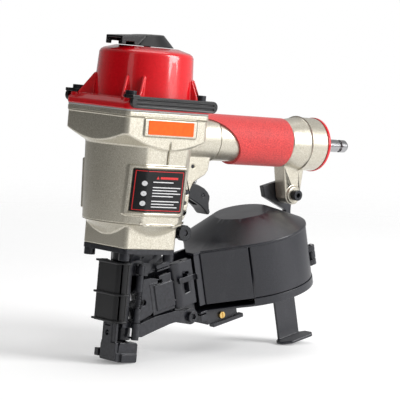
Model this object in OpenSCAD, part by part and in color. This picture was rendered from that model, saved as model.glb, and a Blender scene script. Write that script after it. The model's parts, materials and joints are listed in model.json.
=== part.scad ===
// Pneumatic coil roofing nailer, in millimetres.
// +Z runs up the driver axis, +X points back along the handle, -Y is the tool's left side.
// The origin is the nail exit, on the driver axis at the bottom of the contact foot.

/* [Body casting] */
// Height of the bottom of the body casting above the nail exit
base_z = 97; // [96:0.5:98]
// Height of the joint between the body casting and the cap
joint_z = 213; // [212:0.5:214]
// Length of the head block and cap flange along X
flange_l = 90; // [88:0.5:92]
// Width of the head block and cap flange along Y
flange_w = 84; // [82:0.5:85]
// How far the head block sits forward of the driver axis
flange_shift = 3.5; // [3:0.5:4]
// Radius of the column at its top
column_r = 45; // [44.5:0.5:45.5]
// Half the width of the square foot of the body
foot_half = 28; // [27.5:0.5:28.5]

/* [Cap and deflector] */
// Radius of the dome where it meets the flange
dome_r = 41.6; // [41:0.2:42]
// Height of the dome's shoulder above the joint
dome_h = 48; // [47:0.5:49]
// Radius of the round part of the exhaust deflector
deflector_r = 22.5; // [21:0.5:24]
// Length of the deflector's outlet, from its axis
outlet_l = 38; // [34:1:40]
// Turn of the outlet from straight ahead, in degrees
outlet_turn = 4; // [0:1:20]

/* [Handle] */
// Height of the handle's axis
handle_z = 191.4; // [190.5:0.5:192]
// Distance from the driver axis to the end of the handle casting
handle_end = 195.6; // [192:0.5:198]
// Radius of the handle's bell end
bell_r = 23.4; // [22.5:0.2:24]
// Radius of the corners of the grip's section
grip_r = 20; // [19.5:0.2:20.4]
// Radius of the air plug
plug_r = 5.6; // [5.4:0.1:6]

/* [Magazine] */
// X of the centre of the canister's rim
mag_x = 126.1; // [125.5:0.2:127]
// Height of the centre of the canister's rim
mag_z = 113; // [112.5:0.2:114]
// Tilt of the canister from the driver axis, in degrees
mag_tilt = 16.25; // [16:0.05:16.5]
// Outer radius of the canister wall
can_r = 53.8; // [53:0.2:54.5]
// Depth of the canister below its rim
can_h = 53.8; // [53:0.2:54.5]
// Height of the lid's cone
cone_h = 17; // [15:0.5:18]
// Radius of the flat on top of the cone
cone_flat = 25; // [23:1:27]
// Length of the shingle guide's leg below the rim plane
guide_drop = 107; // [104:0.5:108]

/* [Movement] */
// Travel of the contact arm
arm_travel = 12; // [10:0.5:12]
// Stroke of the drive piston
drive_stroke = 66; // [60:1:66]
// Stroke of the feed piston
feed_stroke = 8; // [6:0.5:8]

/* [Hidden] */
$fn = 48;
eps = 0.01;

// ---- derived sizes of the body ----
gasket_t = 1.3;
block_top = joint_z - gasket_t;
block_x0 = -flange_shift - flange_l / 2;
block_x1 = -flange_shift + flange_l / 2;
block_y = flange_w / 2;
block_corner = 5;
block_low = 172;
lip_h = 4.6;
lip_out = 0.6;
wall_in = 0.9;
under_z = 181.6;
under_slope = 0.57;
column_low_r = column_r - 3.2;
column_low_z = 118;
flat_y = 40;
flat_low_y = 38;
waist_z = 107.5;
chamber_r = 33;
grip_end = 157;
sleeve_r = 24;
bore_r = 21.5;
sleeve_z0 = 99;
sleeve_z1 = 205;
cap_screw_front = -41;
cap_screw_rear = 33;
cap_screw_y = 35.5;
cap_screw_r = 2.9;
nose_screw_half = 23.5;
nose_screw_r = 2.9;
dome_z0 = joint_z + 8;
dome_z1 = joint_z + dome_h;
dome_top_z = dome_z1 + 3.6;
dome_top_r = dome_r - 2;
cap_bore_r = 34.5;
cap_roof_z = joint_z + 40;
trim = 0.3;

// ---- derived sizes of the trigger group ----
pivot_x = 47;
pivot_z = 145;
stem_x = 64;
ear_half = 12.5;
slot_half = 8.2;
pin_r = 1.75;
tongue_x = 69.3;
tongue_z = 142.7;
link_x0 = 41.3;
link_x1 = 44.6;
dial_x = 54.5;
dial_z = 109.6;

// ---- derived sizes of the nose ----
nose_front = -9.5;
nose_rear = 13;
nose_half = 12;
nose_low = 29.2;
boss_r = 14;
hinge_z0 = 19.5;
plate_t = 4;
plate_z = base_z - plate_t;
driver_r = 3.5;
hinge_x = 1.5;
hinge_y = -16;
hinge_r = 1.5;
door_in = 12.4;
door_out = 15.6;
cover_front = -18;

// ---- derived sizes of the magazine, in its own tilted frame ----
wall_t = 1.6;
tray_t = 2;
lip_top = -can_h + 7;
hinge_angle = -30;
knuckle_r = 3.2;
hinge_reach = can_r + 3.2;
cover_hinge_u = hinge_reach * cos(hinge_angle);
cover_hinge_v = hinge_reach * sin(hinge_angle);
tangent_angle = 232;
tangent_u = can_r * cos(tangent_angle);
tangent_v = can_r * sin(tangent_angle);
throat_u = -65;
column_u0 = -97;
column_u1 = -75;
near_v = -16;
boss_x = 60;
boss_z = 39.8;
feed_v = 24.5;
feed_w = -27;
feed_u0 = -113;
feed_u1 = -75;
guide_top = -can_h - 2.4;
strip_t = 2.4;
bolt_x = 173.5;
bolt_z = 146.5;
bolt_r = 2.6;

// ---- colours ----
champagne = [0.80, 0.76, 0.66];
cap_red = [0.82, 0.03, 0.05];
grip_red = [0.85, 0.16, 0.15];
satin_black = [0.13, 0.13, 0.15];
rubber_black = [0.08, 0.08, 0.10];
oxide_black = [0.06, 0.06, 0.07];
steel = [0.62, 0.63, 0.65];
plate_orange = [0.95, 0.36, 0.04];
brass = [0.80, 0.58, 0.20];

// ---- helpers ----
// A straight box between two corners
module slab(x, y, z) translate([x[0], y[0], z[0]]) cube([x[1] - x[0], y[1] - y[0], z[1] - z[0]]);

// Round bars along the three axes, from a to b
module bar_x(a, b, y, z, r) translate([a, y, z]) rotate([0, 90, 0]) cylinder(r = r, h = b - a);
module bar_y(a, b, x, z, r) translate([x, a, z]) rotate([-90, 0, 0]) cylinder(r = r, h = b - a);
module bar_z(a, b, x, y, r) translate([x, y, a]) cylinder(r = r, h = b - a);

// A rectangle with round corners
module round_rect(x, y, r) {
    translate([x[0] + r, y[0]]) square([x[1] - x[0] - 2 * r, y[1] - y[0]]);
    translate([x[0], y[0] + r]) square([x[1] - x[0], y[1] - y[0] - 2 * r]);
    for (cx = [x[0] + r, x[1] - r], cy = [y[0] + r, y[1] - r]) translate([cx, cy]) circle(r);
}

module round_plate(x, y, r, z)
    translate([0, 0, z[0]]) linear_extrude(z[1] - z[0]) round_rect(x, y, r);

// An outline in the XZ plane, from y[0] to y[1]
module side_plate(points, y)
    translate([0, y[1], 0]) rotate([90, 0, 0]) linear_extrude(y[1] - y[0]) polygon(points);

// An outline in the YZ plane, from x[0] to x[1]
module front_plate(points, x)
    translate([x[0], 0, 0]) rotate([90, 0, 90]) linear_extrude(x[1] - x[0]) polygon(points);

// Places children in the tilted frame of the magazine: X along the tray, Z along its axis
module in_magazine() translate([mag_x, 0, mag_z]) rotate([0, -mag_tilt, 0]) children();

// A socket-head screw standing on z = 0, with its shank below
module socket_screw(head_r, head_h, shank_r, shank_l, key_r) {
    difference() {
        cylinder(r = head_r, h = head_h);
        translate([0, 0, head_h * 0.4]) cylinder(r = key_r, h = head_h, $fn = 6);
    }
    translate([0, 0, -shank_l]) cylinder(r = shank_r, h = shank_l + eps);
}

// A coil spring swept along a helix, standing on z = 0
function helix_point(r, h, turns, t) =
    [r * cos(360 * turns * t), r * sin(360 * turns * t), h * t];
module coil_spring(r, wire, h, turns) {
    rings = ceil(turns * 16);
    sides = 6;
    points = [for (i = [0:rings], j = [0:sides - 1])
        let (t = i / rings, a = 360 * turns * t, b = 360 * j / sides)
        helix_point(r, h - 2 * wire, turns, t) + [wire * cos(b) * cos(a),
            wire * cos(b) * sin(a), wire + wire * sin(b)]];
    faces = concat(
        [[for (j = [0:sides - 1]) j]],
        [for (i = [0:rings - 1], j = [0:sides - 1]) let (k = (j + 1) % sides)
            [i * sides + j, (i + 1) * sides + j, (i + 1) * sides + k, i * sides + k]],
        [[for (j = [sides - 1:-1:0]) rings * sides + j]]);
    polyhedron(points = points, faces = faces, convexity = 6);
}

// ---- head ----
module cap_screw_places() {
    for (sx = [cap_screw_front, cap_screw_rear], sy = [-cap_screw_y, cap_screw_y])
        translate([sx, sy, 0]) children();
}

// The deflector's cone with its outlet box, smaller by inset on each side
module deflector_shape(inset, low) {
    translate([0, 0, low]) cylinder(r1 = deflector_r - inset, r2 = deflector_r - inset - 11, h = 12);
    slab([-outlet_l - eps, 0], [-10 + inset, 10 - inset], [low, low + 12]);
}

module deflector_side(inset) {
    low = dome_top_z + 0.4;
    side_plate([[-outlet_l - 4, low - (inset > 0 ? 1 : 0)], [-outlet_l - 4, low + 6.8 - inset],
        [-outlet_l + 2, low + 7.2 - inset], [24, low + 11.2 - inset],
        [24, low - (inset > 0 ? 1 : 0)]], [-30, 30]);
}

module exhaust_deflector() color(rubber_black) rotate([0, 0, outlet_turn]) difference() {
    low = dome_top_z + 0.4;
    intersection() {
        deflector_shape(0, low);
        deflector_side(0);
    }
    difference() {
        intersection() {
            deflector_shape(2, low - 1);
            deflector_side(2);
        }
        translate([0, 0, low - 2]) cylinder(r = 6, h = 20);
    }
    slab([-outlet_l + 5, -outlet_l + 14], [-12, 12], [low - 1, low + 2.6]);
    translate([0, 0, low - 1]) cylinder(r = 3.3, h = 20);
    translate([0, 0, low + 7]) cylinder(r = 5.3, h = 20);
}

module deflector_screw() color(oxide_black)
    translate([0, 0, dome_top_z + 7.7]) socket_screw(4.6, 2.2, 2.9, 17, 2.1);

module cap_flange() {
    chamfer = 5;
    edge_z = joint_z + 4.4;
    top_z = joint_z + 8.6;
    intersection() {
        round_plate([block_x0, block_x1], [-block_y, block_y], block_corner, [joint_z, top_z]);
        side_plate([[block_x0, joint_z], [block_x0, edge_z], [block_x0 + chamfer, top_z],
            [block_x1 - chamfer, top_z], [block_x1, edge_z], [block_x1, joint_z]], [-60, 60]);
        front_plate([[-block_y, joint_z], [-block_y, edge_z], [-block_y + chamfer, top_z],
            [block_y - chamfer, top_z], [block_y, edge_z], [block_y, joint_z]], [-60, 60]);
    }
}

module cap_gussets() {
    for (corner = [[cap_screw_front, -1], [cap_screw_front, 1], [cap_screw_rear, -1],
            [cap_screw_rear, 1]]) {
        turn = atan2(corner[1] * cap_screw_y, corner[0]);
        reach = norm([corner[0], cap_screw_y]);
        rotate([0, 0, turn]) for (side = [-1, 1])
            side_plate([[dome_r - 4, joint_z + 6], [reach - 0.5, joint_z + 6],
                [reach - 0.5, joint_z + 10], [dome_r - 0.2, joint_z + 27],
                [dome_r - 4, joint_z + 27]], [side * 7 - 1.1, side * 7 + 1.1]);
    }
}

module cylinder_cap() color(cap_red) difference() {
    union() {
        cap_flange();
        rotate_extrude($fn = 96) polygon([[0, joint_z + 1], [dome_r, joint_z + 1],
            [dome_r, dome_z0], [dome_top_r, dome_z1 - 3], [dome_top_r - 1.2, dome_z1 - 0.8],
            [dome_top_r - 3.6, dome_z1 + 0.8], [26, dome_top_z], [0, dome_top_z]]);
        intersection() {
            cap_gussets();
            round_plate([block_x0 + 3, block_x1 - 3], [-block_y + 3, block_y - 3],
                block_corner - 3, [joint_z, dome_z1]);
        }
        cap_screw_places() translate([0, 0, joint_z]) cylinder(r = 6, h = 9.2);
    }
    translate([0, 0, joint_z - 1]) cylinder(r = cap_bore_r, h = cap_roof_z - joint_z + 1);
    cap_screw_places() translate([0, 0, joint_z - 1]) cylinder(r = cap_screw_r + 0.3, h = 20);
    translate([0, 0, cap_roof_z - 1]) cylinder(r = 2.9, h = 20);
    for (a = [45:90:315]) rotate([0, 0, a]) translate([13, 0, cap_roof_z - 1])
        cylinder(r = 3.6, h = 20);
}

module cap_screws() color(oxide_black) cap_screw_places() translate([0, 0, joint_z + 9.2])
    socket_screw(4.8, 6, cap_screw_r, 26, 2.4);

// A rubber strip along one flange edge, hooked over the front screw; side is -1 or 1
module edge_bumper(side) {
    outer = block_y + 3.6;
    y = side < 0 ? [-outer, -block_y - 0.05] : [block_y + 0.05, outer];
    bottom = joint_z + 1.2;
    top = joint_z + 11;
    groove_y = side < 0 ? [-outer - 1, -outer + 1] : [outer - 1, outer + 1];
    tab_y = side < 0 ? [-outer, -cap_screw_y] : [cap_screw_y, outer];
    difference() {
        union() {
            translate([0, y[1], 0]) rotate([90, 0, 0]) linear_extrude(y[1] - y[0])
                round_rect([cap_screw_front - 6, block_x1 + 3], [bottom, top], 4.8);
            slab([cap_screw_front - 6, cap_screw_front + 2], tab_y, [joint_z + 9.3, joint_z + 12]);
            bar_z(joint_z + 9.3, joint_z + 12, cap_screw_front, side * cap_screw_y, 5.8);
        }
        bar_z(joint_z, joint_z + 30, cap_screw_front, side * cap_screw_y, 4.9);
        for (z = [bottom + 2.9, bottom + 6.3])
            slab([cap_screw_front - 1, block_x1 - 1], groove_y, [z - 0.6, z + 0.6]);
    }
}

module bumper_left() color(rubber_black) edge_bumper(-1);
module bumper_right() color(rubber_black) edge_bumper(1);

module cap_gasket() color([0.45, 0.46, 0.47]) difference() {
    round_plate([block_x0 + 0.4, block_x1 - 0.4], [-block_y + 0.4, block_y - 0.4],
        block_corner, [block_top, joint_z]);
    translate([0, 0, block_top - 1]) cylinder(r = chamber_r + 1.5, h = 4);
    cap_screw_places() translate([0, 0, block_top - 1]) cylinder(r = cap_screw_r + 0.5, h = 4);
}

module head_valve() color([0.85, 0.85, 0.82]) rotate_extrude($fn = 72) polygon([
    [bore_r - 1.5, sleeve_z1 + trim], [sleeve_r + 3, sleeve_z1 + trim],
    [sleeve_r + 3, joint_z + 5], [cap_bore_r - 0.3, joint_z + 5],
    [cap_bore_r - 0.3, joint_z + 14], [22, joint_z + 14], [22, joint_z + 10],
    [bore_r - 1.5, joint_z + 6]]);

module head_valve_spring() color(steel)
    translate([0, 0, joint_z + 14.2]) coil_spring(27, 1.4, cap_roof_z - joint_z - 14.4, 3);

// ---- body ----
module head_block() intersection() {
    union() {
        round_plate([block_x0 + wall_in, block_x1 - wall_in],
            [-block_y + wall_in, block_y - wall_in], block_corner, [block_low, block_top]);
        round_plate([block_x0 + wall_in - lip_out, block_x1 - wall_in + lip_out],
            [-block_y + wall_in - lip_out, block_y - wall_in + lip_out], block_corner,
            [block_top - lip_h, block_top]);
    }
    under_low = under_z - 18;
    translate([0, 0, under_low]) cylinder(h = block_top - under_low, $fn = 96,
        r1 = block_y - 18 / under_slope, r2 = block_y + (block_top - under_z) / under_slope);
}

// The column grown by out, between two heights
module column_shape(out, z) intersection() {
    slope = (column_r - column_low_r) / (190 - column_low_z);
    flat_slope = (flat_y - flat_low_y) / (190 - column_low_z);
    translate([0, 0, z[0]]) cylinder(h = z[1] - z[0], $fn = 96,
        r1 = column_low_r + out + (z[0] - column_low_z) * slope,
        r2 = column_low_r + out + (z[1] - column_low_z) * slope);
    y0 = flat_low_y + out + (z[0] - column_low_z) * flat_slope;
    y1 = flat_low_y + out + (z[1] - column_low_z) * flat_slope;
    front_plate([[-y0, z[0]], [-y1, z[1]], [y1, z[1]], [y0, z[0]]], [-60, 39]);
}

// Raised pad round the info plate, on both sides, with a recess for the plate
module info_pads() intersection() {
    column_shape(1.9, [126, 167.6]);
    for (side = [-1, 1]) difference() {
        slab([-33, 22], side < 0 ? [-50, 0] : [0, 50], [126, 167.6]);
        slab([-30.5, 19.8], side < 0 ? [-50, -1] : [1, 50], [129, 165]);
    }
}

module info_pad_floor() intersection() {
    column_shape(1.0, [126.5, 167.1]);
    union() {
        slab([-32, 21], [-50, 0], [126.5, 167.1]);
        slab([-32, 21], [0, 50], [126.5, 167.1]);
    }
}

module ear_outline(y) {
    side_plate([[20, 119], [46, 121.5], [48.4, 127], [49.8, 136], [50.4, 147], [53, 153],
        [59, 157], [65.4, 160.4], [68.4, 164.6], [70.2, 178], [71, 196], [20, 196]], y);
}

module handle_section(x, r, half_flat) {
    for (dz = [-half_flat, half_flat]) bar_x(x[0], x[1], 0, handle_z + dz, r);
    slab(x, [-r, r], [handle_z - half_flat, handle_z + half_flat]);
}

module handle_solid() {
    handle_section([30, 75], 19.4, 0.8);
    handle_section([74, 160], 18.2, 0.8);
    translate([grip_end + 0.2, 0, handle_z]) rotate([0, 90, 0])
        cylinder(r1 = 20.2, r2 = bell_r, h = 19.4, $fn = 96);
    bar_x(grip_end + 19.4, handle_end, 0, handle_z, bell_r);
}

module lug_solid() {
    side_plate([[159.5, 172], [165.6, 142.2], [bolt_x, bolt_z - 8.4], [181.4, 143.6],
        [184, 172]], [-6.8, 6.6]);
    bar_y(-6.8, 6.6, bolt_x, bolt_z, 8.4);
    bar_y(-8.6, -6.7, bolt_x, bolt_z, 7.6);
}

module body_solid() {
    head_block();
    column_shape(0, [column_low_z, 196]);
    translate([0, 0, waist_z]) cylinder(r1 = 28, r2 = column_low_r - 0.4, h = 11, $fn = 96);
    translate([0, 0, base_z]) linear_extrude(26)
        round_rect([-foot_half, foot_half - 1], [-foot_half - 1, foot_half + 1], 4);
    info_pads();
    info_pad_floor();
    for (side = [-1, 1])
        slab([-29, 27], side < 0 ? [-block_y - 0.5, -30] : [30, block_y + 0.5], [191.6, 206.4]);
    ear_outline([-ear_half, ear_half]);
    handle_solid();
    lug_solid();
}

module body_housing() color(champagne) difference() {
    body_solid();
    bar_z(118, block_top + 1, 0, 0, chamber_r);
    bar_z(base_z - 1, 130, 0, 0, sleeve_r + 0.02);
    bar_x(20, handle_end + 1, 0, handle_z, 13.5);
    bar_z(160, handle_z, stem_x, 0, 7.5);
    slab([40.5, 80], [-slot_half, slot_half], [110, 166]);
    bar_y(-15, 15, pivot_x, pivot_z, pin_r);
    for (p = [[51.2, 167.2], [45.8, 135.8], [45.8, 128]]) bar_y(-15, 15, p[0], p[1], 1.5);
    bar_y(-12, 12, bolt_x, bolt_z, bolt_r + 0.05);
    for (side = [-1, 1])
        slab([0.4, 1.3], side < 0 ? [-flat_y - 3, -flat_y + 1] : [flat_y - 1, flat_y + 3], [169, 187]);
    cap_screw_places() bar_z(block_top - 18, block_top + 1, 0, 0, cap_screw_r);
    for (sx = [-1, 1], sy = [-1, 1])
        bar_z(base_z - 1, base_z + 10, sx * nose_screw_half, sy * nose_screw_half, nose_screw_r);
}

module cylinder_sleeve() color(steel) difference() {
    union() {
        bar_z(sleeve_z0, sleeve_z1, 0, 0, sleeve_r - 0.5);
        bar_z(sleeve_z0, 117.6, 0, 0, sleeve_r);
        bar_z(160, 166, 0, 0, sleeve_r + 3.4);
    }
    bar_z(sleeve_z0 - 1, sleeve_z1 + 1, 0, 0, bore_r);
    for (a = [0:45:315]) rotate([0, 0, a]) bar_x(10, 30, 0, 150, 1.6);
    for (a = [0:45:315]) rotate([0, 0, a]) bar_x(10, 30, 0, 126, 2);
    difference() {
        bar_z(161.6, 164.4, 0, 0, sleeve_r + 4);
        bar_z(161, 165, 0, 0, sleeve_r + 1.4);
    }
}

module sleeve_seal() color(rubber_black) difference() {
    bar_z(161.6, 164.4, 0, 0, chamber_r - 0.4);
    bar_z(161, 165, 0, 0, sleeve_r + 1.4);
}

module drive_piston() color([0.75, 0.76, 0.78]) difference() {
    union() {
        bar_z(190, 203, 0, 0, bore_r - 0.05);
        bar_z(186, 190.5, 0, 0, 12);
    }
    difference() {
        bar_z(194.5, 198.5, 0, 0, bore_r + 1);
        bar_z(194, 199, 0, 0, bore_r - 2.2);
    }
    bar_z(199.5, 204, 0, 0, 12);
    bar_z(180, 205, 0, 0, driver_r);
}

module piston_ring() color(rubber_black) difference() {
    bar_z(194.5, 198.5, 0, 0, bore_r - 0.02);
    bar_z(194, 199, 0, 0, bore_r - 2.2);
}

module driver_blade() color(steel) bar_z(76, 199.5, 0, 0, driver_r);

module piston_bumper() color([0.16, 0.16, 0.17]) difference() {
    rotate_extrude() polygon([[0, sleeve_z0 + 0.4], [bore_r - 0.3, sleeve_z0 + 0.4],
        [bore_r - 0.3, 112], [bore_r - 4, 119.5], [0, 119.5]]);
    bar_z(90, 125, 0, 0, driver_r + 1);
}

module name_plate() color(plate_orange) translate([0, -block_y - 0.5, 0]) rotate([90, 0, 0])
    linear_extrude(0.5) round_rect([-25.2, 23], [193.4, 205], 0.8);

module info_plate() color([0.05, 0.05, 0.06]) difference() {
    intersection() {
        column_shape(1.5, [129.4, 164.6]);
        slab([-30, 19.4], [-50, -12], [129.4, 164.6]);
    }
    column_shape(1.03, [129, 165]);
}

// ---- handle ----
module handle_grip() color(grip_red) difference() {
    handle_section([50.5, grip_end], grip_r, 1.4);
    handle_section([40, 75.02], 19.42, 0.8);
    handle_section([73, grip_end + 1], 18.22, 0.8);
    bar_y(-30, 30, 60, 168, 40.5);
}

module end_cap() color(cap_red) difference() {
    union() {
        bar_x(handle_end, handle_end + 2.4, 0, handle_z, bell_r + 0.5, $fn = 96);
        translate([handle_end + 2.4, 0, handle_z]) rotate([0, 90, 0])
            cylinder(r1 = bell_r - 0.8, r2 = bell_r - 3.4, h = 1.8, $fn = 96);
        bar_x(handle_end - 10, handle_end + 1, 0, handle_z, 13.45);
    }
    bar_x(handle_end - 12, handle_end + 6, 0, handle_z, 6.5);
}

module air_plug() color([0.55, 0.56, 0.58]) {
    tip = handle_end + 41.7;
    groove = tip - 11;
    difference() {
        union() {
            bar_x(handle_end - 6, handle_end + 6, 0, handle_z, 6.45);
            translate([handle_end + 4.3, 0, handle_z]) rotate([0, 90, 0])
                cylinder(r = 9, h = 5.4, $fn = 6);
            bar_x(handle_end + 9.5, groove, 0, handle_z, plug_r);
            bar_x(groove - 1, groove + 4, 0, handle_z, plug_r - 1.4);
            bar_x(groove + 3, tip - 2, 0, handle_z, plug_r);
            translate([tip - 2, 0, handle_z]) rotate([0, 90, 0])
                cylinder(r1 = plug_r, r2 = plug_r - 1.4, h = 2);
        }
        bar_x(handle_end - 7, tip + 1, 0, handle_z, 2.6);
    }
}

// ---- trigger ----
module trigger() color(rubber_black) difference() {
    union() {
        side_plate([[44, 147], [47, 150.2], [51, 151.6], [55.2, 152.2], [60, 152.2], [63.6, 151.4],
            [70.2, 148.8], [74.5, 145.6], [77.1, 142.2], [77.2, 139], [76.7, 136.5], [77.4, 132],
            [78.9, 128.4], [77.3, 126], [75, 127.6], [72.4, 130.4], [69, 133], [65.6, 134.9],
            [56, 139.2], [50, 140.4], [44, 142.5]], [-7.8, 7.8]);
        bar_y(-7.8, 7.8, pivot_x, pivot_z, 5);
    }
    slab([50.5, 74.6], [-3.4, 3.4], [134, 160]);
    slab([40, 52.5], [-3.4, 3.4], [136, 155]);
    bar_y(-9, 9, pivot_x, pivot_z, pin_r + 0.06);
    bar_y(-9, 9, tongue_x, tongue_z, 1.5);
}

module trigger_pin() color(oxide_black) bar_y(-13.2, 13.2, pivot_x, pivot_z, pin_r - 0.02);

module ear_pins() color(oxide_black) {
    bar_y(-ear_half + 0.5, ear_half - 0.5, 51.2, 167.2, 1.5);
    for (p = [[45.8, 135.8], [45.8, 128]]) {
        bar_y(-ear_half + 0.5, -slot_half - 0.2, p[0], p[1], 1.5);
        bar_y(slot_half + 0.2, ear_half - 0.5, p[0], p[1], 1.5);
    }
}

module trigger_tongue() color(steel) difference() {
    union() {
        side_plate([[53.2, 146.4], [53.2, 148.8], [62, 149.4], [72, 146], [72.6, 141],
            [68, 140], [62, 144.6]], [-3, 3]);
        bar_y(-3, 3, tongue_x, tongue_z, 3);
    }
    bar_y(-4, 4, tongue_x, tongue_z, 1.56);
}

module tongue_pin() color(oxide_black) bar_y(-7.6, 7.6, tongue_x, tongue_z, 1.5);

module valve_body() color([0.3, 0.3, 0.32]) difference() {
    bar_z(167.5, 186, stem_x, 0, 7.48);
    bar_z(160, 190, stem_x, 0, 2.55);
    bar_z(172, 184, stem_x, 0, 5);
}

module valve_stem() color(steel) {
    bar_z(153, 182, stem_x, 0, 2.5);
    bar_z(173, 175, stem_x, 0, 4.6);
    translate([stem_x, 0, 152]) cylinder(r1 = 1.6, r2 = 2.5, h = 1.01);
}

module valve_spring() color(steel) translate([stem_x, 0, 175.2]) coil_spring(3.7, 0.45, 8.6, 5);

// ---- nose ----
module nose_screw_places() {
    for (sx = [-1, 1], sy = [-1, 1]) translate([sx * nose_screw_half, sy * nose_screw_half, 0])
        children();
}

// The rails and far wall of the feed throat, in the magazine frame
module throat_fixed() {
    slab([-128, column_u0 - 0.6], [-11.8, 11.8], [-5, 1.6]);
    slab([-128, column_u0 - 0.6], [8.9, 11.8], [-46, 1.6]);
    slab([-126, column_u0 - 0.6], [-11.8, 11.8], [-50, -44]);
    slab([-112, column_u0 - 0.6], [-door_out, -11], [-2.6, 1.2]);
    slab([-112, column_u0 - 0.6], [-door_out, -11], [-4.8, -3.4]);
    slab([-99, column_u0 - 0.6], [-door_out + 2, -11], [-5, 1.6]);
}

module lower_arm() {
    side_plate([[0.5, 22], [8, 22], [22, 27.4], [44, 35.4], [44, 40], [5, 33]], [-17, -12.8]);
    side_plate([[5.6, nose_low], [21, nose_low + 0.4], [44, 34.6], [58, 33], [64, 36], [58, 46.4],
        [52, 44.4], [43, 44.4], [21, 39.4], [8, 34.6], [5.6, 33.6]], [-17, -11.6]);
    bar_y(-17, -11.6, boss_x, boss_z, 7);
}

module nose_casting() color(oxide_black) difference() {
    union() {
        difference() {
            union() {
                round_plate([-foot_half, foot_half - 1], [-foot_half - 1, foot_half + 1], 4,
                    [plate_z, base_z]);
                bar_z(84, plate_z + 1, 0, 0, boss_r);
                front_plate([[-20, plate_z + 0.5], [11, plate_z + 0.5], [11, 84], [-11.9, 84]],
                    [nose_front + 0.6, nose_rear - 0.4]);
                slab([nose_front, nose_rear], [-nose_half, nose_half], [nose_low, plate_z + 1]);
                side_plate([[12, plate_z + 0.5], [26, plate_z + 0.5], [26, 90], [12, 74]],
                    [-nose_half, nose_half]);
            }
            slab([-4, nose_rear + 1], [-nose_half - 1, -4.6], [34.4, 73]);
        }
        in_magazine() throat_fixed();
        hinge_ears();
        lower_arm();
        bar_z(18, nose_low + 1, 0, 0, 7);
    }
    bar_z(10, base_z + 1, 0, 0, 5.6);
    slab([-1, nose_rear + 20], [-7, 8.6], [34.4, 72.6]);
    nose_screw_places() bar_z(plate_z - 1, base_z + 1, 0, 0, nose_screw_r + 0.3);
    bar_y(-20, -8, boss_x, boss_z, 3.02);
    bar_z(hinge_z0 - 1, 90, hinge_x, hinge_y, hinge_r);
    in_magazine() slab([-127, -112.5], [8, 13], [feed_w - 4, feed_w + 4]);
}

module hinge_ears() {
    for (z = [[nose_low, 33.8], [75, 82]]) {
        bar_z(z[0], z[1], hinge_x, hinge_y, 3.2);
        slab([hinge_x - 2.6, hinge_x + 2.6], [hinge_y, -nose_half + 1], z);
    }
    bar_z(hinge_z0, nose_low + 1, hinge_x, hinge_y, 3.2);
}

module nose_screws() color(oxide_black) nose_screw_places() translate([0, 0, plate_z])
    rotate([180, 0, 0]) socket_screw(4.7, 6, nose_screw_r, 12, 2.4);

module cover_profile(out) {
    front = cover_front - out;
    near = -15 - out;
    far = 17 + out;
    corner = 8;
    difference() {
        union() {
            translate([front + corner, near + corner]) circle(corner);
            translate([front + corner, near]) square([-6 - front - corner, far - near]);
            translate([front, near + corner]) square([-6 - front, far - near - corner]);
        }
        translate([cover_front + 2, -13]) square([20, 28]);
        translate([-9, -40]) square([10, 80]);
    }
}

module nose_cover() color(rubber_black) difference() {
    union() {
        translate([0, 0, 33]) linear_extrude(51) cover_profile(0);
        for (z = [33.4, 56, 82.4]) translate([0, 0, z]) linear_extrude(1.8) difference() {
            cover_profile(1.8);
            translate([cover_front + 1, -14]) square([30, 30]);
        }
        slab([-11, nose_front - 0.05], [12.2, 17], [33, 84]);
        slab([-11, nose_front - 0.05], [-15, -12.2], [33, 84]);
    }
}

module contact_foot() color(oxide_black) difference() {
    union() {
        side_plate([[-12, 1], [-11, 0], [7, 0], [8.4, 1.4], [8.4, 15], [7, 16.6], [-10.4, 16.6],
            [-12, 14]], [-12.4, 12.6]);
        side_plate([[-9.5, 0.8], [-9, 0], [6, 0], [7, 1], [7, 7.2], [-9.5, 7.2]], [-14.4, -12.3]);
        slab([-14.2, -11.5], [-12.4, -4], [0.8, 8]);
        slab([-14.4, -9.5], [12, 17], [2.4, 9]);
        slab([-15.6, -12.2], [-5.6, 6], [3, 50]);
        slab([-15.2, -12.4], [-10.6, 7.4], [3, 33]);
        slab([-15.6, -12.2], [-12, 7.4], [3, 16.6]);
        slab([-2, 7], [12, 17.4], [4, 16]);
    }
    bar_z(-1, 17, 0, 0, 5.5);
    bar_z(5.5, 17, 0, 0, 7.4);
    bar_x(-20, -12, 0.4, 24, 2.2);
    slab([-16, -15], [-3, 3.6], [30, 47]);
}

module contact_link() color(oxide_black) {
    slab([-2, 6], [14.6, 17.2], [16, 80]);
    slab([-2, 44.6], [14.6, 17.2], [71.5, 80]);
    slab([38, 44.6], [14.6, 17.2], [71.5, 100]);
    slab([38, 44.6], [-2.6, 17.2], [95, 100]);
    side_plate([[link_x0, 100], [link_x0, 131], [43, 131], [50, 131.4], [51.6, 133.8],
        [54.4, 133.8], [54.4, 130], [link_x1, 122.5], [link_x1, 113.4], [dial_x, dial_z + 4],
        [dial_x, dial_z - 4], [link_x1, 103], [link_x1, 100]], [0, 2.6]);
    side_plate([[link_x0, 100], [link_x0, 131], [link_x1, 131], [link_x1, 100]], [-2.6, 0]);
    side_plate([[link_x0, 127], [link_x0, 131], [50, 131.4], [51.6, 133.8], [54.4, 133.8],
        [54.4, 130]], [-2.6, 0]);
    bar_y(0, 2.6, dial_x, dial_z, 4);
    bar_y(-5.4, 0.1, dial_x, dial_z, 2.6);
}

module contact_spring() color(steel) translate([-13.3, 0.4, 50.2]) coil_spring(1.7, 0.4, 33.6, 14);

module depth_dial() color(oxide_black) difference() {
    bar_y(-6.4, -0.3, dial_x, dial_z, 6.8);
    bar_y(-7, 0, dial_x, dial_z, 2.66);
    for (a = [0:30:330]) translate([dial_x, 0, dial_z]) rotate([0, a, 0])
        bar_y(-7, 0, 7.5, 0, 1.1);
}

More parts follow.
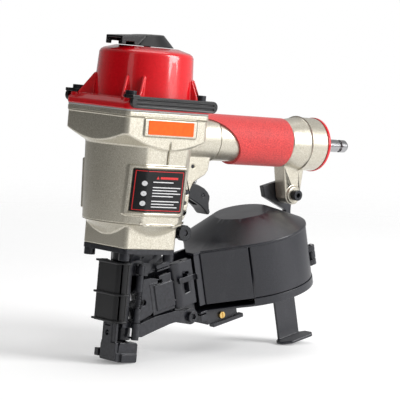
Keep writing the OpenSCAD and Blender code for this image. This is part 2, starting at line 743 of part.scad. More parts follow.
module feed_door() color(oxide_black) difference() {
    union() {
        in_magazine() {
            slab([-122, column_u0 - 1.2], [-door_out, -door_in], [-40.6, -13.4]);
            slab([-118, column_u0 - 1.2], [-door_out - 1.2, -door_in - 1], [-37.5, -15.6]);
            slab([-111, column_u0 - 1.2], [-door_out, -door_in], [-14, -8.6]);
            for (w = [-35, -19]) slab([column_u0 - 2, column_u0 + 1.9], [-14.8, -13.2], [w, w + 1.6]);
        }
        side_plate([[hinge_x + 1.2, 35.6], [hinge_x + 1.2, 70], [14, 72], [24, 71], [24, 48],
            [17, 40.2], [7, 35.6]], [-door_out + 0.15, -door_in - 0.15]);
        for (z = [[34.2, 46], [60, 74]]) bar_z(z[0], z[1], hinge_x, hinge_y, 3);
    }
    bar_z(20, 90, hinge_x, hinge_y, hinge_r + 0.06);
    bar_y(-20, -5, 8.4, 51, 2.6);
    in_magazine() slab([-113, -108], [-20, -5], [-15.4, -12]);
    bar_z(46, 60, hinge_x, hinge_y, 4.2);
}

module door_hinge_pin() color(oxide_black) {
    bar_z(hinge_z0, 83, hinge_x, hinge_y, hinge_r);
    bar_z(82.1, 83.8, hinge_x, hinge_y, 2.2);
}

module door_spring() color(steel)
    translate([hinge_x, hinge_y, 46.4]) coil_spring(2.5, 0.45, 13.2, 9);

module latch_post() {
    difference() {
        union() {
            translate([-88, -7.2, -41.8]) cylinder(r = 9, h = 38.8);
            slab([-88, column_u1], [-16.2, -9], [-41.8, -3]);
        }
        slab([-100, -70], [-8.4, 10], [-50, 0]);
        slab([-86.2, -79.8], [-17, -8], [-30.4, -12.6]);
        bar_z(-40, -2, -83, -11.4, 1.4);
    }
}

module door_latch() color(steel) in_magazine() difference() {
    union() {
        bar_z(-30, -13, -83, -11.4, 2.8);
        slab([-84.2, -81.8], [-20.2, -12], [-29, -14]);
        slab([-92, -75.6], [-20.6, -19.5], [-20, -15.4]);
        slab([-93.6, -92], [-20.6, -17.4], [-20, -15.4]);
        slab([-76.8, -75.6], [-24, -19.5], [-20, -15.4]);
    }
    bar_z(-31, -12, -83, -11.4, 1.46);
}

module latch_pin() color(oxide_black) in_magazine() bar_z(-40, -6, -83, -11.4, 1.4);

module boss_screw() color(oxide_black) translate([boss_x, -17, boss_z]) rotate([90, 0, 0])
    socket_screw(4.8, 3.6, 3, 9, 2.6);

// ---- feed cylinder, on the far side, along the magazine's X ----
module feed_cylinder() color(oxide_black) in_magazine() difference() {
    union() {
        bar_x(feed_u0, feed_u1, feed_v, feed_w, 10.4);
        slab([feed_u0, feed_u0 + 6], [12.3, feed_v], [feed_w - 8, feed_w + 8]);
        slab([feed_u1 - 20, feed_u1 - 4], [12.3, feed_v - 6], [feed_w - 5, feed_w + 5]);
    }
    bar_x(feed_u0 + 4, feed_u1 + 1, feed_v, feed_w, 8);
    bar_x(feed_u0 - 1, feed_u0 + 6, feed_v, feed_w, 3.06);
}

module feed_cylinder_cap() color(oxide_black) in_magazine() difference() {
    union() {
        bar_x(feed_u1, feed_u1 + 3, feed_v, feed_w, 10.4);
        bar_x(feed_u1 - 4, feed_u1 + 1, feed_v, feed_w, 7.98);
    }
    bar_x(feed_u1 - 5, feed_u1 + 4, feed_v, feed_w, 2);
}

module feed_piston() color(steel) in_magazine() {
    bar_x(feed_u0 + 4.5, feed_u0 + 10, feed_v, feed_w, 7.95);
    bar_x(feed_u0 - 12, feed_u0 + 5, feed_v, feed_w, 3);
    slab([feed_u0 - 12, feed_u0 - 9.5], [16.4, feed_v + 3], [feed_w - 3, feed_w + 3]);
}

module feed_pawl() color(steel) in_magazine() {
    slab([feed_u0 - 12, feed_u0 - 9.5], [8, 16.4], [feed_w - 3, feed_w + 3]);
    slab([feed_u0 - 12, feed_u0 - 7], [6.8, 8.2], [feed_w - 3, feed_w + 3]);
}

module feed_spring() color(steel) in_magazine()
    translate([feed_u0 + 10.2, feed_v, feed_w]) rotate([0, 90, 0]) coil_spring(5.5, 0.7, 23.4, 7);

// ---- canister ----
// A ring sector between two angles, outer radius r
module wall_sector(r, t, a0, a1) {
    reach = 3 * r;
    difference() {
        circle(r, $fn = 128);
        circle(r - t, $fn = 128);
        polygon(concat([[0, 0]], [for (i = [0:8]) let (a = a1 + (a0 + 360 - a1) * i / 8)
            [reach * cos(a), reach * sin(a)]]));
    }
}

module thin_wall(p, q, t) {
    along = atan2(q[1] - p[1], q[0] - p[0]);
    translate(p) rotate(along) translate([0, -t]) square([norm(q - p), t]);
}

module hinge_knuckles(levels, turn) {
    for (level = levels) translate([0, 0, level[0]]) linear_extrude(level[1] - level[0])
        difference() {
            union() {
                translate([cover_hinge_u, cover_hinge_v]) circle(knuckle_r);
                rotate(hinge_angle + turn) translate([can_r - 1.2, -1.4]) square([3.4, 2.8]);
            }
            translate([cover_hinge_u, cover_hinge_v]) circle(1.56);
            circle(can_r - 1.3, $fn = 128);
        }
}

module rear_bracket() {
    side_plate([[34, 30.5], [34.5, 20.6], [56.6, 3], [56.6, -50], [62, -50], [62, 0],
        [65.5, 12], [62.5, 25], [54.9, 30.5]], [7.4, 12.4]);
    side_plate([[50, -53.6], [50, -50.4], [57, -49], [62, -50], [62, -53.6]], [7.4, 12.4]);
}

module canister_base() color(satin_black) difference() {
    in_magazine() base_solid();
    bar_y(-12, -6, boss_x, boss_z, 3.02);
}

module base_solid() difference() {
    union() {
        translate([0, 0, -can_h]) linear_extrude(tray_t) union() {
            circle(can_r + 0.6, $fn = 128);
            polygon([[-36, -39.6], [throat_u, near_v - 0.2], [-72, near_v], [-72, -11.4],
                [column_u0, -11.4], [column_u0, 12], [-36, 40]]);
        }
        translate([0, 0, -can_h]) linear_extrude(lip_top + can_h)
            wall_sector(can_r + 0.6, 1.7, tangent_angle - 360, 140);
        translate([0, 0, -can_h + 1]) linear_extrude(can_h - 2.8)
            wall_sector(can_r, wall_t, hinge_angle + 5, 140);
        slab([column_u0, -41], [9, 12], [-can_h + 1, -1.8]);
        slab([column_u0 + 1, -74], [-11.4, -8.4], [-can_h + 1, -41]);
        latch_post();
        hinge_knuckles([[-35, -28.6]], 4.5);
        rear_bracket();
        slab([-78, -72.6], [-10, 12], [-can_h - 2, -can_h + 1]);
    }
    bar_y(5, 14, 54.9, 18.9, bolt_r + 0.05);
    bar_z(-can_h - 1, -can_h + 4, 0, 0, 4);
}

module cover_wall() {
    wall_sector(can_r, wall_t, tangent_angle - 360, hinge_angle - 3);
    thin_wall([throat_u, near_v - 0.4], [tangent_u, tangent_v], wall_t);
    translate([throat_u - 7.4, near_v - 0.6]) square([8, wall_t]);
}

module canister_cover() color(satin_black) in_magazine() {
    top = 0.8;
    rotate_extrude($fn = 128) polygon([[0, cone_h], [cone_flat, cone_h], [can_r + 0.6, top],
        [can_r + 0.6, -1.2], [can_r - wall_t, -1.2], [can_r - wall_t, -0.2],
        [cone_flat - 0.6, cone_h - wall_t - 0.2], [0, cone_h - wall_t - 0.2]]);
    translate([0, 0, lip_top + 0.4]) linear_extrude(-lip_top - 1) cover_wall();
    translate([0, 0, -1.4]) linear_extrude(2.2) difference() {
        polygon([[tangent_u, tangent_v - 0.4], [throat_u, near_v - 1], [throat_u - 7.4, near_v - 1],
            [throat_u - 7.4, -7], [-48, 26]]);
        circle(can_r - wall_t, $fn = 128);
    }
    hinge_knuckles([[-28, -23], [-40.6, -35.6]], -4.5);
}

module cover_hinge_pin() color(steel) in_magazine()
    bar_z(-41.4, -22.2, cover_hinge_u, cover_hinge_v, 1.5);

module platform_post() color(steel) in_magazine() {
    bar_z(-can_h, -8, 0, 0, 4);
    bar_z(-can_h + tray_t, -can_h + tray_t + 2, 0, 0, 7);
}

module nail_platform() color([0.2, 0.2, 0.22]) in_magazine() difference() {
    union() {
        bar_z(-45, -42.6, 0, 0, 42, $fn = 96);
        bar_z(-45, -34, 0, 0, 9);
    }
    bar_z(-50, -30, 0, 0, 4.08);
    for (a = [0:60:300]) rotate([0, 0, a]) translate([26, 0, -46]) cylinder(r = 7, h = 5);
}

module bracket_screw() color(oxide_black) translate([bolt_x, -8.6, bolt_z]) rotate([90, 0, 0])
    socket_screw(4.7, 5.6, bolt_r, 26.4, 2.3);

module bracket_nut() color(oxide_black) translate([bolt_x, 12.5, bolt_z]) rotate([-90, 0, 0])
    difference() {
        cylinder(r = 5, h = 4, $fn = 6);
        translate([0, 0, -1]) cylinder(r = bolt_r + 0.02, h = 6);
    }

// ---- shingle guide ----
module guide_bracket() color(satin_black) in_magazine() difference() {
    union() {
        slab([-64, -30], [-13, 15], [-66, -can_h - 0.1]);
        slab([-60, -26], [-16, -10], [-69, -65.6]);
        slab([-70, -63], [-13, 15], [-62, -56.1]);
    }
    slab([-80, -20], [-1.5, 13.6], [guide_top - strip_t - 0.3, guide_top + 0.3]);
    bar_y(-17, 1, -48, -61.4, 2.02);
    slab([-61, -33], [1, 12], [-67, -62]);
}

module guide_screw() color(brass) in_magazine() {
    bar_y(-13, -2, -48, -61.4, 2);
    difference() {
        bar_y(-15, -13.02, -48, -61.4, 3);
        slab([-48.5, -47.5], [-16, -14.3], [-66, -57]);
    }
}

module shingle_guide() color(satin_black) in_magazine() {
    low = -guide_drop;
    slab([-62, 47.2], [-1.2, 13.3], [guide_top - strip_t, guide_top]);
    slab([23.3, 47.2], [-1.2, 1.3], [low - 0.5, guide_top - 0.1]);
    translate([0, 0, low - 2.5]) linear_extrude(2.5) polygon([[22, 1.3], [48, 1.3], [53, -3],
        [53.5, -11], [50, -15.5], [26, -15.5], [19, -9], [19, -2]]);
}

exhaust_deflector();
deflector_screw();
cylinder_cap();
cap_screws();
bumper_left();
bumper_right();
cap_gasket();
head_valve();
head_valve_spring();
body_housing();
cylinder_sleeve();
sleeve_seal();
drive_piston();
piston_ring();
driver_blade();
piston_bumper();
name_plate();
info_plate();
handle_grip();
end_cap();
air_plug();
trigger();
trigger_pin();
ear_pins();
trigger_tongue();
tongue_pin();
valve_body();
valve_stem();
valve_spring();
nose_casting();
nose_screws();
nose_cover();
contact_foot();
contact_link();
contact_spring();
depth_dial();
feed_door();
door_hinge_pin();
door_spring();
door_latch();
latch_pin();
boss_screw();
feed_cylinder();
feed_cylinder_cap();
feed_piston();
feed_pawl();
feed_spring();
canister_base();
canister_cover();
cover_hinge_pin();
nail_platform();
platform_post();
bracket_screw();
bracket_nut();
guide_bracket();
guide_screw();
shingle_guide();
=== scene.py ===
"""Looks for the coil roofing nailer: materials, edges, springs, plate graphics, camera and light."""

import json
import math

import bmesh
import bpy
from mathutils import Matrix, Vector


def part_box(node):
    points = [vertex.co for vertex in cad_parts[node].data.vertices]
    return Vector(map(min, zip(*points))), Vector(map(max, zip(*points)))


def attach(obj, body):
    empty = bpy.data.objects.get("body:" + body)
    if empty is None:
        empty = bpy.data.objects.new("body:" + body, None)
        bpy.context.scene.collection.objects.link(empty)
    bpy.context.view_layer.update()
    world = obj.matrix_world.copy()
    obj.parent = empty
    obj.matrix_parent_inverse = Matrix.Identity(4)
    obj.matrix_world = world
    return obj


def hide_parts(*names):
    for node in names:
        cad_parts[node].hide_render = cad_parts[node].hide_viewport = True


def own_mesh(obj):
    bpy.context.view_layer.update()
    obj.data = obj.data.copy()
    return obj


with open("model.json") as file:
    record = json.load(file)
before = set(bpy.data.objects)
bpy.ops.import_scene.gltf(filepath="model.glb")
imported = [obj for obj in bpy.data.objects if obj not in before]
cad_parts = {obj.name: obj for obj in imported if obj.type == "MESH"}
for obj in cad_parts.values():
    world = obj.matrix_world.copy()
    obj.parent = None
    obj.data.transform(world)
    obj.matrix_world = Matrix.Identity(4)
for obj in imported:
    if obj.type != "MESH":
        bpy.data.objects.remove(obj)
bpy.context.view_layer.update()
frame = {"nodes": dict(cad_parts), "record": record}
nodes = frame["nodes"]

MM = 0.001

# Camera and stage, in metres
CAMERA_PLACE = Vector((-1.3112, -1.6282, 0.2652))
CAMERA_LOOK = Vector((0.64652, 0.76058, -0.05940))
CAMERA_RIGHT = Vector((0.7663, -0.6425, 0.0))
CAMERA_ROLL = math.radians(5.14)
LENS_MM = 224.6
SENSOR_MM = 36.0
TOOL_CENTRE = (0.06, 0, 0.14)
FLOOR_PLACE = (0.007, 0, -0.0004)
FLOOR_TILT = math.radians(4.5)
FLOOR_RADIUS = 1.6
FLOOR_FADE_FROM, FLOOR_FADE_TO = 0.45, 1.5
FLOOR_GLOW = 0.25
# Light from the surroundings: bright behind the handle, dark in front of the nose
BRIGHT_SIDE = Vector((0.86, -0.10, 0.5))
DARK_STRENGTH, BRIGHT_STRENGTH = 0.03, 0.50
SOFTBOXES = {  # place, width and height, watts
    "key_box": ((1.1, -1.7, 1.1), (1.0, 1.4), 46),
    "fill_box": ((-1.7, -0.5, 0.9), (0.5, 1.2), 1.5),
    "top_box": ((0.2, 0.2, 2.0), (1.4, 1.4), 10),
}

# Noise scales, in cycles per metre, and the noise levels that a ramp spreads
BROAD_SCALE = 35.0
PATCH_SCALE = 60.0
SCUFF_SCALE = 90.0
SPECKLE_LEVELS = (0.35, 0.68)
SCUFF_LEVELS = (0.56, 0.80)
# the rubber's painted valley shade runs from light to dark over these cell distances
VALLEY_SHADE_LEVELS = (0.15, 0.75)
PATCH_LEVELS = (0.3, 0.75)
SCRATCH_LEVELS = (0.3, 0.7)
FLOOR_LEVELS = (0.3, 0.7)

# Mesh finish
SAME_POINT = 2e-6
FLAT_ANGLE = math.radians(0.6)
EDGE_ANGLE = math.radians(32)
DEFAULT_EDGE_MM = 0.2
WIDE_EDGE_MM = 0.45

# Springs
UP = (0, 0, 1)
ALONG_MAGAZINE = (0.96005, 0, 0.279829)
COIL_STEPS = 28
COIL_SIDES = 10
DEAD_TURN = 0.75

# The body column that the info plate lies on, in millimetres
COLUMN_R = 41.8
COLUMN_SLOPE = 3.2 / 72
FLAT_Y = 38.0
FLAT_SLOPE = 2.0 / 72
COLUMN_Z = 118.0
PLATE_THICK = 1.5
INK_LOW, INK_HIGH = 0.01, 0.12


# ---------------------------------------------------------------- node helpers
def rgba(red, green, blue):
    return (red, green, blue, 1.0)


def new_material(name):
    mat = bpy.data.materials.new(name)
    mat.use_nodes = True
    return mat, mat.node_tree, mat.node_tree.nodes["Principled BSDF"]


def link(tree, source, output, target, socket):
    tree.links.new(source.outputs[output], target.inputs[socket])


def add_node(tree, kind, **values):
    """A new node; each value sets the attribute of that name, or else the input."""
    made = tree.nodes.new(kind)
    for key, value in values.items():
        if hasattr(made, key):
            setattr(made, key, value)
        else:
            made.inputs[key.replace("_", " ")].default_value = value
    return made


def noise(tree, scale, detail=2.0, rough=0.5, stretch=(1.0, 1.0, 1.0)):
    coords = add_node(tree, "ShaderNodeTexCoord")
    mapping = add_node(tree, "ShaderNodeMapping", Scale=stretch)
    link(tree, coords, "Object", mapping, "Vector")
    made = add_node(tree, "ShaderNodeTexNoise", Scale=scale, Detail=detail, Roughness=rough)
    link(tree, mapping, "Vector", made, "Vector")
    return made


def ramp(tree, source, output, levels, low=rgba(0, 0, 0), high=rgba(1, 1, 1)):
    made = add_node(tree, "ShaderNodeValToRGB")
    for stop, level, colour in zip(made.color_ramp.elements, levels, (low, high)):
        stop.position = level
        stop.color = colour
    link(tree, source, output, made, "Fac")
    return made


def spread(tree, source, output, low, high):
    made = add_node(tree, "ShaderNodeMapRange", To_Min=low, To_Max=high)
    link(tree, source, output, made, "Value")
    return made


def bump(tree, shader, source, output, strength, distance, invert=False):
    made = add_node(tree, "ShaderNodeBump", Strength=strength, Distance=distance, invert=invert)
    link(tree, source, output, made, "Height")
    link(tree, made, "Normal", shader, "Normal")


def mix_colour(tree, blend_type="MIX"):
    """A colour mix node with its factor, first colour, second colour and result sockets."""
    made = add_node(tree, "ShaderNodeMix", data_type="RGBA", blend_type=blend_type)
    return made.inputs["Factor"], made.inputs[6], made.inputs[7], made.outputs[2]


# ---------------------------------------------------------------- materials
def paint(name, dark, light, rough, metal=0.0, speckle=900.0, coat=0.0, coat_rough=0.1,
          grain=700.0, depth=0.00006, strength=0.25, wear=None, rough_span=0.08, spec=0.5):
    """A sprayed or coated surface: speckled colour, uneven roughness, fine bump, light scuffs."""
    mat, tree, shader = new_material(name)
    speckles = noise(tree, speckle, 3.0, 0.6)
    colour = ramp(tree, speckles, "Fac", SPECKLE_LEVELS, rgba(*dark), rgba(*light))
    if wear:
        scuffs = noise(tree, SCUFF_SCALE, 6.0, 0.75, (1.0, 1.0, 0.35))
        amount = ramp(tree, scuffs, "Fac", SCUFF_LEVELS)
        factor, fresh, worn, result = mix_colour(tree)
        tree.links.new(amount.outputs["Color"], factor)
        tree.links.new(colour.outputs["Color"], fresh)
        worn.default_value = rgba(*wear)
        tree.links.new(result, shader.inputs["Base Color"])
    else:
        link(tree, colour, "Color", shader, "Base Color")
    broad = noise(tree, BROAD_SCALE, 3.0, 0.6)
    uneven = spread(tree, broad, "Fac", rough - rough_span, rough + rough_span)
    link(tree, uneven, "Result", shader, "Roughness")
    shader.inputs["Metallic"].default_value = metal
    shader.inputs["Specular IOR Level"].default_value = spec
    shader.inputs["Coat Weight"].default_value = coat
    shader.inputs["Coat Roughness"].default_value = coat_rough
    bump(tree, shader, noise(tree, grain, 2.0, 0.6), "Fac", strength, depth)
    return mat


def rubber_grain(name, dark, light, rough, cell=900.0, depth=0.00012, sheen=0.0):
    """Soft moulded rubber: a fine pebbled bump, with painted shade darkening its valleys."""
    mat, tree, shader = new_material(name)
    coords = add_node(tree, "ShaderNodeTexCoord")
    cells = add_node(tree, "ShaderNodeTexVoronoi", Scale=cell)
    link(tree, coords, "Object", cells, "Vector")
    soft = noise(tree, PATCH_SCALE, 4.0, 0.6)
    # painted shade: colour light on the pebble tops, darker towards the valleys between them
    painted_valley_shade = ramp(tree, cells, "Distance", VALLEY_SHADE_LEVELS, rgba(*light), rgba(*dark))
    patches = ramp(tree, soft, "Fac", PATCH_LEVELS, rgba(0.9, 0.9, 0.9), rgba(1.06, 1.06, 1.06))
    factor, first, second, result = mix_colour(tree, "MULTIPLY")
    factor.default_value = 1.0
    tree.links.new(painted_valley_shade.outputs["Color"], first)
    tree.links.new(patches.outputs["Color"], second)
    tree.links.new(result, shader.inputs["Base Color"])
    uneven = spread(tree, soft, "Fac", rough - 0.08, rough + 0.08)
    link(tree, uneven, "Result", shader, "Roughness")
    shader.inputs["Sheen Weight"].default_value = sheen
    bump(tree, shader, cells, "Distance", 0.6, depth, invert=True)
    return mat


def bare_metal(name, dark, light, rough, stretch=(1, 1, 12), strength=0.12):
    """Ground or turned metal: stretched scratches in colour, roughness and bump."""
    mat, tree, shader = new_material(name)
    scratches = noise(tree, 500.0, 4.0, 0.65, stretch)
    colour = ramp(tree, scratches, "Fac", SCRATCH_LEVELS, rgba(*dark), rgba(*light))
    link(tree, colour, "Color", shader, "Base Color")
    shader.inputs["Metallic"].default_value = 1.0
    uneven = spread(tree, scratches, "Fac", rough - 0.07, rough + 0.1)
    link(tree, uneven, "Result", shader, "Roughness")
    bump(tree, shader, scratches, "Fac", strength, 0.00004)
    return mat


MATS = {
    "body_paint": paint("champagne_lacquer", (0.44, 0.40, 0.31), (0.76, 0.73, 0.64), 0.36,
                        metal=0.72, speckle=1500.0, coat=0.35, coat_rough=0.12, grain=1100.0,
                        depth=0.00005, strength=0.3),
    "cap_red": paint("red_lacquer", (0.70, 0.0, 0.006), (0.78, 0.002, 0.010), 0.24,
                     speckle=500.0, coat=0.8, coat_rough=0.05, grain=260.0, depth=0.00005,
                     strength=0.12),
    "grip_rubber": rubber_grain("red_grip_rubber", (0.52, 0.02, 0.022), (0.78, 0.055, 0.05), 0.62,
                                cell=1000.0, depth=0.00016, sheen=0.25),
    "black_rubber": rubber_grain("black_rubber", (0.003, 0.003, 0.0035), (0.007, 0.0072, 0.009),
                                 0.36, cell=1600.0, depth=0.00005),
    "black_plastic": paint("black_plastic", (0.005, 0.006, 0.008), (0.011, 0.012, 0.016), 0.36,
                           speckle=800.0, grain=900.0, strength=0.35),
    "white_plastic": paint("white_plastic", (0.70, 0.70, 0.66), (0.80, 0.80, 0.76), 0.45),
    "black_paint": paint("satin_black_coat", (0.009, 0.0095, 0.014), (0.020, 0.021, 0.029), 0.37,
                         speckle=1300.0, coat=0.2, coat_rough=0.2, grain=1100.0, strength=0.35,
                         wear=(0.030, 0.031, 0.038)),
    "black_oxide": paint("black_oxide", (0.008, 0.0085, 0.012), (0.022, 0.023, 0.030), 0.33,
                         metal=0.3, speckle=420.0, coat=0.3, coat_rough=0.2, depth=0.00008,
                         strength=0.35, wear=(0.045, 0.046, 0.052)),
    "steel": bare_metal("ground_steel", (0.42, 0.42, 0.43), (0.62, 0.62, 0.63), 0.3),
    "aluminium": bare_metal("turned_aluminium", (0.62, 0.62, 0.63), (0.8, 0.8, 0.8), 0.28),
    "chrome": bare_metal("plated_steel", (0.30, 0.30, 0.31), (0.48, 0.48, 0.49), 0.2,
                         stretch=(14, 1, 1), strength=0.08),
    "brass": bare_metal("brass", (0.62, 0.40, 0.12), (0.85, 0.62, 0.25), 0.26),
    "orange_plate": paint("orange_plate", (0.90, 0.10, 0.0), (0.98, 0.135, 0.0), 0.42,
                          speckle=300.0, grain=200.0, strength=0.05, spec=0.25),
    "black_plate": paint("black_plate", (0.003, 0.003, 0.004), (0.006, 0.006, 0.007), 0.25,
                         speckle=300.0, grain=200.0, strength=0.05, spec=0.4),
    "gasket": paint("gasket_fibre", (0.42, 0.42, 0.42), (0.62, 0.62, 0.61), 0.6,
                    speckle=1500.0, strength=0.4),
}
RED_INK = paint("red_ink", (0.60, 0.01, 0.012), (0.72, 0.02, 0.02), 0.4, strength=0.05)
PALE_INK = paint("pale_ink", (0.62, 0.62, 0.63), (0.78, 0.78, 0.79), 0.4, strength=0.05)

# ---------------------------------------------------------------- carried-over CAD nodes
EDGE_MM = {
    "body_housing": 1.1, "cylinder_cap": 0.8, "handle_grip": 0.15, "end_cap": 0.5,
    "bumper_left": 0.5, "bumper_right": 0.5, "exhaust_deflector": 0.6, "canister_base": 0.4,
    "canister_cover": 0.5, "nose_casting": 0.25, "nose_cover": 0.5, "contact_foot": 0.5,
    "contact_link": 0.4, "trigger": 0.9, "feed_door": 0.4, "shingle_guide": 0.6,
    "guide_bracket": 0.3, "cap_screws": 0.35, "nose_screws": 0.35, "bracket_screw": 0.35,
    "boss_screw": 0.35, "deflector_screw": 0.3, "air_plug": 0.25, "depth_dial": 0.3,
    "feed_cylinder": 0.5, "feed_cylinder_cap": 0.4, "bracket_nut": 0.3, "door_latch": 0.25,
}
SPRINGS = {"head_valve_spring", "valve_spring", "contact_spring", "door_spring", "feed_spring"}
SHALLOW_CURVES = {"canister_cover", "handle_grip"}


def merge_flat_faces(obj):
    flat = obj.modifiers.new("flat_faces", "DECIMATE")
    flat.decimate_type = "DISSOLVE"
    flat.angle_limit = FLAT_ANGLE


def round_edges(obj, width_mm):
    bevel = obj.modifiers.new("edges", "BEVEL")
    bevel.width = width_mm * MM
    bevel.segments = 3 if width_mm > WIDE_EDGE_MM else 2
    bevel.limit_method = "ANGLE"
    bevel.angle_limit = EDGE_ANGLE
    bevel.use_clamp_overlap = False
    bevel.harden_normals = True
    bevel.miter_outer = "MITER_ARC"
    normals = obj.modifiers.new("normals", "WEIGHTED_NORMAL")
    normals.keep_sharp = True


def dress(name, slot):
    """Material, joined faces and small round edges for one CAD node."""
    obj = nodes[name]
    obj.data.materials.clear()
    obj.data.materials.append(MATS[slot])
    if obj.data.has_custom_normals:
        bpy.context.view_layer.objects.active = obj
        bpy.ops.mesh.customdata_custom_splitnormals_clear()
    obj.data.shade_smooth()
    weld = obj.modifiers.new("join", "WELD")
    weld.merge_threshold = SAME_POINT
    if name in SPRINGS:
        return
    if name not in SHALLOW_CURVES:
        merge_flat_faces(obj)
    round_edges(obj, EDGE_MM.get(name, DEFAULT_EDGE_MM))


for part in frame["record"]["subparts"]:
    dress(part["node"], part["material_slot"])


def object_from(bm, name, mat):
    """A scene object with the mesh that bm holds."""
    mesh = bpy.data.meshes.new(name)
    bm.to_mesh(mesh)
    bm.free()
    mesh.materials.append(mat)
    obj = bpy.data.objects.new(name, mesh)
    bpy.context.scene.collection.objects.link(obj)
    return obj


# ---------------------------------------------------------------- round-wire springs with closed ends
def coil_rise(turn, turns, wire, length):
    """Height of the wire's middle after so many turns; the first and last turns lie close."""
    free = (turn - DEAD_TURN) / (turns - 2 * DEAD_TURN)
    first = min(turn / DEAD_TURN, 1.0)
    last = max((turn - turns + DEAD_TURN) / DEAD_TURN, 0.0)
    return wire * (first + last) + (length - 2 * wire) * min(max(free, 0.0), 1.0)


def coil_loops(bm, start, axis, radius, wire, length, turns):
    """Rings of points around the wire, all along the spring."""
    side = axis.orthogonal().normalized()
    other = axis.cross(side)
    loops = []
    for step in range(turns * COIL_STEPS + 1):
        turn = step / COIL_STEPS
        angle = 2 * math.pi * turn
        out = side * math.cos(angle) + other * math.sin(angle)
        centre = start + (out * radius + axis * coil_rise(turn, turns, wire, length)) * MM
        loop = []
        for j in range(COIL_SIDES):
            around = 2 * math.pi * j / COIL_SIDES
            reach = out * math.cos(around) + axis * math.sin(around)
            loop.append(bm.verts.new(centre + reach * wire * MM))
        loops.append(loop)
    return loops


def coil(cad_node, axis, radius, wire, length, turns):
    """A round-wire spring with closed ends in place of its CAD node; its far end stays put."""
    low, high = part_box(cad_node)
    axis = Vector(axis).normalized()
    start = (Vector(low) + Vector(high)) / 2 - axis * (length / 2) * MM
    bm = bmesh.new()
    loops = coil_loops(bm, start, axis, radius, wire, length, turns)
    for a, b in zip(loops, loops[1:]):
        for j in range(COIL_SIDES):
            k = (j + 1) % COIL_SIDES
            bm.faces.new((a[j], a[k], b[k], b[j]))
    bm.faces.new(list(reversed(loops[0])))
    bm.faces.new(loops[-1])
    bmesh.ops.recalc_face_normals(bm, faces=bm.faces)
    obj = object_from(bm, cad_node + "_coil", MATS["steel"])
    obj.data.shade_smooth()
    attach(obj, "frame")
    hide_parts(cad_node)
    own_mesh(obj)


coil("contact_spring", UP, 1.7, 0.4, 33.6, 14)
coil("valve_spring", UP, 3.7, 0.45, 8.6, 5)
coil("feed_spring", ALONG_MAGAZINE, 5.5, 0.7, 23.4, 7)
HEAD_WIRE = 1.4
head_low, head_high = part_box("head_valve_spring")
head_length = (head_high[2] - head_low[2]) / MM - 2 * HEAD_WIRE
coil("head_valve_spring", UP, 27.0, HEAD_WIRE, head_length, 3)


# ---------------------------------------------------------------- plate graphics, no lettering
def on_info_plate(x, z, lift):
    """A point on the info plate's outer face, in millimetres, raised by lift."""
    out = PLATE_THICK + lift
    radius = COLUMN_R + out + (z - COLUMN_Z) * COLUMN_SLOPE
    flat = FLAT_Y + out + (z - COLUMN_Z) * FLAT_SLOPE
    round_y = math.sqrt(max(radius * radius - x * x, 0.0))
    return Vector((x, -min(flat, round_y), z)) * MM


def raised_strips(name, strips, mat):
    """Thin raised strips on the plate; each is a list of (one side, other side) points in x, z."""
    bm = bmesh.new()
    for pairs in strips:
        rows = []
        for pair in pairs:
            rows.append([bm.verts.new(on_info_plate(x, z, lift))
                         for x, z in pair for lift in (INK_LOW, INK_HIGH)])
        for r, s in zip(rows, rows[1:]):
            bm.faces.new((r[1], r[3], s[3], s[1]))
            bm.faces.new((r[0], s[0], s[2], r[2]))
            bm.faces.new((r[0], r[1], s[1], s[0]))
            bm.faces.new((r[2], s[2], s[3], r[3]))
        if pairs[0] != pairs[-1]:
            for end, order in ((rows[0], (0, 2, 3, 1)), (rows[-1], (0, 1, 3, 2))):
                bm.faces.new([end[i] for i in order])
    bmesh.ops.remove_doubles(bm, verts=bm.verts, dist=1e-6)
    bmesh.ops.recalc_face_normals(bm, faces=bm.faces)
    return object_from(bm, name, mat)


def bar(x0, x1, z0, z1, steps=24):
    xs = [x0 + (x1 - x0) * i / steps for i in range(steps + 1)]
    return [((x, z0), (x, z1)) for x in xs]


def upright_bar(x0, x1, z0, z1):
    return [((x0, z0), (x1, z0)), ((x0, z1), (x1, z1))]


def ring(x, z, r, width, steps=28):
    out = []
    for i in range(steps + 1):
        a = 2 * math.pi * (i % steps) / steps
        c, s = math.cos(a), math.sin(a)
        out.append(((x + r * c, z + r * s), (x + (r - width) * c, z + (r - width) * s)))
    return out


def border(x0, x1, z0, z1, width):
    return [bar(x0, x1, z1 - width, z1), bar(x0, x1, z0, z0 + width),
            upright_bar(x0, x0 + width, z0 + width, z1 - width),
            upright_bar(x1 - width, x1, z0 + width, z1 - width)]


SIGN = [((-10.4, 156.8), (-7.4, 156.8)), ((-9.0, 159.2), (-8.8, 159.2))]
TITLE = bar(-6.0, 12.5, 157.0, 158.8)
DISC_X, DISC_R = -21.5, 2.1
DISC_HEIGHTS = (153.0, 144.6, 136.4)
LINE_START, LINE_HIGH = -13.5, 0.8
LINE_ENDS = {154.0: 8.0, 149.6: 16.0, 147.2: 12.5, 144.8: 16.5, 142.4: 9.0, 138.2: 15.5,
             135.8: 10.5, 133.4: 14.0}

red_lines = border(-28.6, 18.2, 130.6, 163.4, 0.5) + [TITLE, SIGN]
pale_marks = [ring(DISC_X, z, DISC_R, 1.9) for z in DISC_HEIGHTS]
pale_marks += [bar(LINE_START, end, z, z + LINE_HIGH) for z, end in LINE_ENDS.items()]
for piece in (raised_strips("info_red_lines", red_lines, RED_INK),
              raised_strips("info_pale_marks", pale_marks, PALE_INK)):
    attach(piece, "frame")


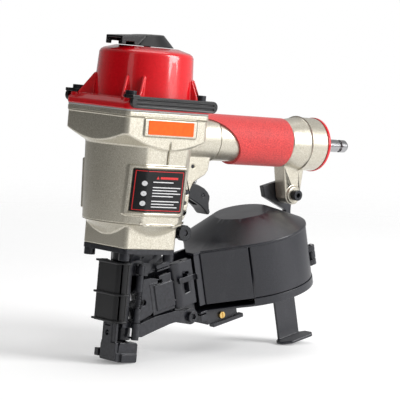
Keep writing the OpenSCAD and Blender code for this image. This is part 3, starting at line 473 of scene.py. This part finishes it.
# ---------------------------------------------------------------- floor
def floor_material():
    """Pale and slightly glowing, fading out towards the disc's edge."""
    mat, tree, shader = new_material("pale_floor")
    tone = ramp(tree, noise(tree, 3.0), "Fac", FLOOR_LEVELS, rgba(0.90, 0.90, 0.90),
                rgba(0.92, 0.92, 0.92))
    link(tree, tone, "Color", shader, "Base Color")
    link(tree, tone, "Color", shader, "Emission Color")
    shader.inputs["Roughness"].default_value = 0.9
    shader.inputs["Specular IOR Level"].default_value = 0.1
    shader.inputs["Emission Strength"].default_value = FLOOR_GLOW
    coords = add_node(tree, "ShaderNodeTexCoord")
    distance = add_node(tree, "ShaderNodeVectorMath", operation="LENGTH")
    link(tree, coords, "Object", distance, "Vector")
    fade = add_node(tree, "ShaderNodeMapRange", interpolation_type="SMOOTHSTEP",
                    From_Min=FLOOR_FADE_FROM, From_Max=FLOOR_FADE_TO)
    link(tree, distance, "Value", fade, "Value")
    clear = add_node(tree, "ShaderNodeBsdfTransparent")
    blend = add_node(tree, "ShaderNodeMixShader")
    link(tree, fade, "Result", blend, 0)
    link(tree, shader, "BSDF", blend, 1)
    link(tree, clear, "BSDF", blend, 2)
    link(tree, blend, 0, tree.nodes["Material Output"], "Surface")
    return mat


bm = bmesh.new()
bmesh.ops.create_circle(bm, cap_ends=True, radius=FLOOR_RADIUS, segments=96)
floor = object_from(bm, "floor", floor_material())
floor.matrix_world = Matrix.Translation(FLOOR_PLACE) @ Matrix.Rotation(-FLOOR_TILT, 4, "Y")


# ---------------------------------------------------------------- light and camera
def studio_world():
    """White to look at; as light, it falls off from the bright side to the dark one."""
    world = bpy.data.worlds.new("studio")
    bpy.context.scene.world = world
    world.use_nodes = True
    tree = world.node_tree
    background = tree.nodes["Background"]
    background.inputs["Color"].default_value = rgba(1.0, 1.0, 1.0)
    coords = add_node(tree, "ShaderNodeTexCoord")
    toward = add_node(tree, "ShaderNodeVectorMath", operation="DOT_PRODUCT")
    toward.inputs[1].default_value = BRIGHT_SIDE.normalized()
    link(tree, coords, "Generated", toward, 0)
    shade = add_node(tree, "ShaderNodeMapRange", From_Min=-0.75, From_Max=0.6,
                     To_Min=DARK_STRENGTH, To_Max=BRIGHT_STRENGTH)
    link(tree, toward, "Value", shade, "Value")
    path = add_node(tree, "ShaderNodeLightPath")
    strength = add_node(tree, "ShaderNodeMix", data_type="FLOAT")
    link(tree, path, "Is Camera Ray", strength, 0)
    link(tree, shade, "Result", strength, 2)
    strength.inputs[3].default_value = 1.0
    link(tree, strength, 0, background, "Strength")


def softbox(name, place, size, power):
    light = bpy.data.lights.new(name, "AREA")
    light.shape = "RECTANGLE"
    light.size, light.size_y = size
    light.energy = power
    obj = bpy.data.objects.new(name, light)
    bpy.context.scene.collection.objects.link(obj)
    obj.location = place
    aim = Vector(TOOL_CENTRE) - Vector(place)
    obj.rotation_euler = aim.to_track_quat("-Z", "Y").to_euler()


def photo_camera():
    data = bpy.data.cameras.new("camera")
    data.lens = LENS_MM
    data.sensor_width = SENSOR_MM
    data.clip_start = 0.05
    data.clip_end = 50.0
    camera = bpy.data.objects.new("camera", data)
    bpy.context.scene.collection.objects.link(camera)
    look = CAMERA_LOOK.normalized()
    level = CAMERA_RIGHT.normalized()
    upright = level.cross(look)
    right = level * math.cos(CAMERA_ROLL) + upright * math.sin(CAMERA_ROLL)
    right = (right - look * right.dot(look)).normalized()
    turn = Matrix((right, right.cross(look), -look)).transposed().to_4x4()
    camera.matrix_world = Matrix.Translation(CAMERA_PLACE) @ turn
    bpy.context.scene.camera = camera


bpy.context.scene.view_settings.view_transform = "Standard"
studio_world()
for box_name, (box_place, box_size, watts) in SOFTBOXES.items():
    softbox(box_name, box_place, box_size, watts)
photo_camera()
